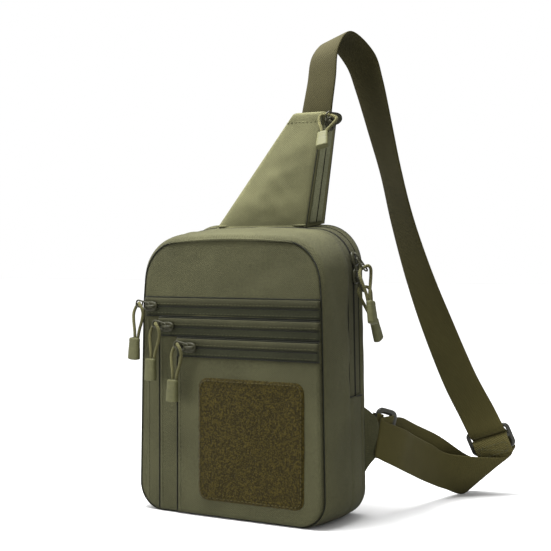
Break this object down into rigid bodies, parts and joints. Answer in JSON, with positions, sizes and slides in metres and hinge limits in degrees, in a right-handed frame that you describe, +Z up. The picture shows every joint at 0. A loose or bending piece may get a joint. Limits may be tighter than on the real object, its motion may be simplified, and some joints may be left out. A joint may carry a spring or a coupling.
{
  "type": "sling bag",
  "caption": "Small upright sling bag with a stepped zip-pocket front, loop patch, triangular shoulder pouch, folding front panel and one long webbing strap with an adjuster.",
  "frame": {"origin": "middle of the bag's flat base, where it rests on the floor", "axes": "+Z up, -Y towards the pocket front, +X towards the strap's lower ring; +Y is the side worn against the body"},
  "size_m": [0.2591, 0.2345, 0.3924],
  "materials": {
    "nylon_fabric": "matt woven nylon",
    "webbing": "ribbed woven webbing",
    "zip_tape": "zipper tape with a coil",
    "loop_pile": "looped pile",
    "piping": "corded piping",
    "moulded_plastic": "soft moulded, satin",
    "zip_metal": "painted die-cast, satin",
    "paracord": "braided cord",
    "buckle_plastic": "moulded, satin",
    "mesh_pad": "spacer mesh over foam"
  },
  "bodies": {
    "bag": {"back_pad": "mesh_pad", "back_panel": "nylon_fabric", "divider_binding": "webbing", "inner_divider": "nylon_fabric", "loop_patch": "loop_pile", "lower_gusset": "nylon_fabric", "lower_piping": "piping", "main_tape_rear": "zip_tape", "pocket_panel_1": "nylon_fabric", "pocket_panel_2": "nylon_fabric", "pocket_panel_3": "nylon_fabric", "pouch_back": "nylon_fabric", "pouch_cap": "nylon_fabric", "pouch_front": "nylon_fabric", "pouch_gusset_front": "nylon_fabric", "pouch_gusset_rear": "nylon_fabric", "pouch_left_side": "nylon_fabric", "pouch_tape": "zip_tape", "rear_gusset": "nylon_fabric", "rear_piping": "piping", "side_wing": "nylon_fabric", "strap_lower": "webbing", "strap_ring": "buckle_plastic", "strap_upper": "webbing", "tri_glide": "buckle_plastic", "wing_loop": "webbing"},
    "front_flap": {"front_panel": "nylon_fabric", "front_gusset": "nylon_fabric", "main_tape_front": "zip_tape", "upper_piping": "piping", "pocket_tape_1": "zip_tape", "pocket_tape_2": "zip_tape", "pocket_tape_3": "zip_tape"},
    "pocket_pull_1_slider": {"pocket_pull_1_slider": "zip_metal"},
    "pocket_pull_1_tab": {"pocket_pull_1_tab": "zip_metal"},
    "pocket_pull_1_cord": {"pocket_pull_1_cord": "paracord", "pocket_pull_1_tip": "moulded_plastic"},
    "pocket_pull_2_slider": {"pocket_pull_2_slider": "zip_metal"},
    "pocket_pull_2_tab": {"pocket_pull_2_tab": "zip_metal"},
    "pocket_pull_2_cord": {"pocket_pull_2_cord": "paracord", "pocket_pull_2_tip": "moulded_plastic"},
    "pocket_pull_3_slider": {"pocket_pull_3_slider": "zip_metal"},
    "pocket_pull_3_tab": {"pocket_pull_3_tab": "zip_metal"},
    "pocket_pull_3_cord": {"pocket_pull_3_cord": "paracord", "pocket_pull_3_tip": "moulded_plastic"},
    "main_pull_low_slider": {"main_pull_low_slider": "zip_metal"},
    "main_pull_low_tab": {"main_pull_low_tab": "zip_metal"},
    "main_pull_low_cord": {"main_pull_low_cord": "paracord", "main_pull_low_tip": "moulded_plastic"},
    "main_pull_high_slider": {"main_pull_high_slider": "zip_metal"},
    "main_pull_high_tab": {"main_pull_high_tab": "zip_metal"},
    "main_pull_high_cord": {"main_pull_high_cord": "paracord", "main_pull_high_tip": "moulded_plastic"},
    "pouch_pull_slider": {"pouch_pull_slider": "zip_metal"},
    "pouch_pull_tab": {"pouch_pull_tab": "zip_metal"},
    "pouch_pull_cord": {"pouch_pull_cord": "paracord", "pouch_pull_tip": "moulded_plastic"}
  },
  "joints": [
    {"name": "front_fold", "type": "hinge", "parent": "bag", "child": "front_flap", "pos_m": [0, -0.04, 0.098], "axis": [1, 0, 0], "range_deg": [0, 45]},
    {"name": "pocket_pull_1_run", "type": "slide", "parent": "front_flap", "child": "pocket_pull_1_slider", "axis": [1, 0, 0], "range_m": [0, 0.145], "deforming": ["pocket_pull_1_cord", "pocket_pull_1_tip"]},
    {"name": "pocket_pull_1_tab_hinge", "type": "hinge", "parent": "pocket_pull_1_slider", "child": "pocket_pull_1_tab", "pos_m": [-0.074, -0.04225, 0.168], "axis": [0, 0, 1], "range_deg": [0, 150], "deforming": ["pocket_pull_1_cord", "pocket_pull_1_tip"]},
    {"name": "pocket_pull_1_cord_swing", "type": "hinge", "parent": "pocket_pull_1_tab", "child": "pocket_pull_1_cord", "pos_m": [-0.08357, -0.04225, 0.17011], "axis": [-1, 0, 0], "range_deg": [0, 80], "deforming": ["pocket_pull_1_cord", "pocket_pull_1_tip"]},
    {"name": "pocket_pull_2_run", "type": "slide", "parent": "front_flap", "child": "pocket_pull_2_slider", "axis": [1, 0, 0], "range_m": [0, 0.128], "deforming": ["pocket_pull_2_cord", "pocket_pull_2_tip"]},
    {"name": "pocket_pull_2_tab_hinge", "type": "hinge", "parent": "pocket_pull_2_slider", "child": "pocket_pull_2_tab", "pos_m": [-0.056, -0.04415, 0.15175], "axis": [0, 0, 1], "range_deg": [0, 150], "deforming": ["pocket_pull_2_cord", "pocket_pull_2_tip"]},
    {"name": "pocket_pull_2_cord_swing", "type": "hinge", "parent": "pocket_pull_2_tab", "child": "pocket_pull_2_cord", "pos_m": [-0.06557, -0.04415, 0.15386], "axis": [-1, 0, 0], "range_deg": [0, 80], "deforming": ["pocket_pull_2_cord", "pocket_pull_2_tip"]},
    {"name": "pocket_pull_3_run", "type": "slide", "parent": "front_flap", "child": "pocket_pull_3_slider", "axis": [1, 0, 0], "range_m": [0, 0.105], "deforming": ["pocket_pull_3_cord", "pocket_pull_3_tip"]},
    {"name": "pocket_pull_3_tab_hinge", "type": "hinge", "parent": "pocket_pull_3_slider", "child": "pocket_pull_3_tab", "pos_m": [-0.033, -0.04605, 0.13575], "axis": [0, 0, 1], "range_deg": [0, 150], "deforming": ["pocket_pull_3_cord", "pocket_pull_3_tip"]},
    {"name": "pocket_pull_3_cord_swing", "type": "hinge", "parent": "pocket_pull_3_tab", "child": "pocket_pull_3_cord", "pos_m": [-0.04257, -0.04605, 0.13786], "axis": [-1, 0, 0], "range_deg": [0, 80], "deforming": ["pocket_pull_3_cord", "pocket_pull_3_tip"]},
    {"name": "main_pull_low_run", "type": "slide", "parent": "bag", "child": "main_pull_low_slider", "axis": [0.0201, 0, -0.9998], "range_m": [0, 0.085], "deforming": ["main_pull_low_cord", "main_pull_low_tip"]},
    {"name": "main_pull_low_tab_hinge", "type": "hinge", "parent": "main_pull_low_slider", "child": "main_pull_low_tab", "pos_m": [0.09198, 0.0115, 0.19341], "axis": [0, -1, 0], "range_deg": [0, 90], "deforming": ["main_pull_low_cord", "main_pull_low_tip"]},
    {"name": "main_pull_low_cord_swing", "type": "hinge", "parent": "main_pull_low_tab", "child": "main_pull_low_cord", "pos_m": [0.0938, 0.01468, 0.18432], "axis": [0, -1, 0], "range_deg": [0, 80], "deforming": ["main_pull_low_cord", "main_pull_low_tip"]},
    {"name": "main_pull_high_run", "type": "hinge", "parent": "bag", "child": "main_pull_high_slider", "pos_m": [0.05343, 0.0115, 0.19792], "axis": [0, -1, 0], "range_deg": [0, 70], "deforming": ["main_pull_high_cord", "main_pull_high_tip"]},
    {"name": "main_pull_high_tab_hinge", "type": "hinge", "parent": "main_pull_high_slider", "child": "main_pull_high_tab", "pos_m": [0.09067, 0.0115, 0.20789], "axis": [0, -1, 0], "range_deg": [0, 90], "deforming": ["main_pull_high_cord", "main_pull_high_tip"]},
    {"name": "main_pull_high_cord_swing", "type": "hinge", "parent": "main_pull_high_tab", "child": "main_pull_high_cord", "pos_m": [0.09655, 0.0115, 0.20005], "axis": [0, -1, 0], "range_deg": [0, 80], "deforming": ["main_pull_high_cord", "main_pull_high_tip"]},
    {"name": "pouch_pull_run", "type": "slide", "parent": "bag", "child": "pouch_pull_slider", "axis": [-0.144, -0.0227, -0.9893], "range_m": [0, 0.068], "deforming": ["pouch_pull_cord", "pouch_pull_tip"]},
    {"name": "pouch_pull_tab_hinge", "type": "hinge", "parent": "pouch_pull_slider", "child": "pouch_pull_tab", "pos_m": [0.0619, 0.02261, 0.31637], "axis": [0.4043, 0.5913, 0.6978], "range_deg": [0, 60], "deforming": ["pouch_pull_cord", "pouch_pull_tip"]},
    {"name": "pouch_pull_cord_swing", "type": "hinge", "parent": "pouch_pull_tab", "child": "pouch_pull_cord", "pos_m": [0.06286, 0.0149, 0.32235], "axis": [-1, 0, 0], "range_deg": [0, 60], "deforming": ["pouch_pull_cord", "pouch_pull_tip"]}
  ]
}
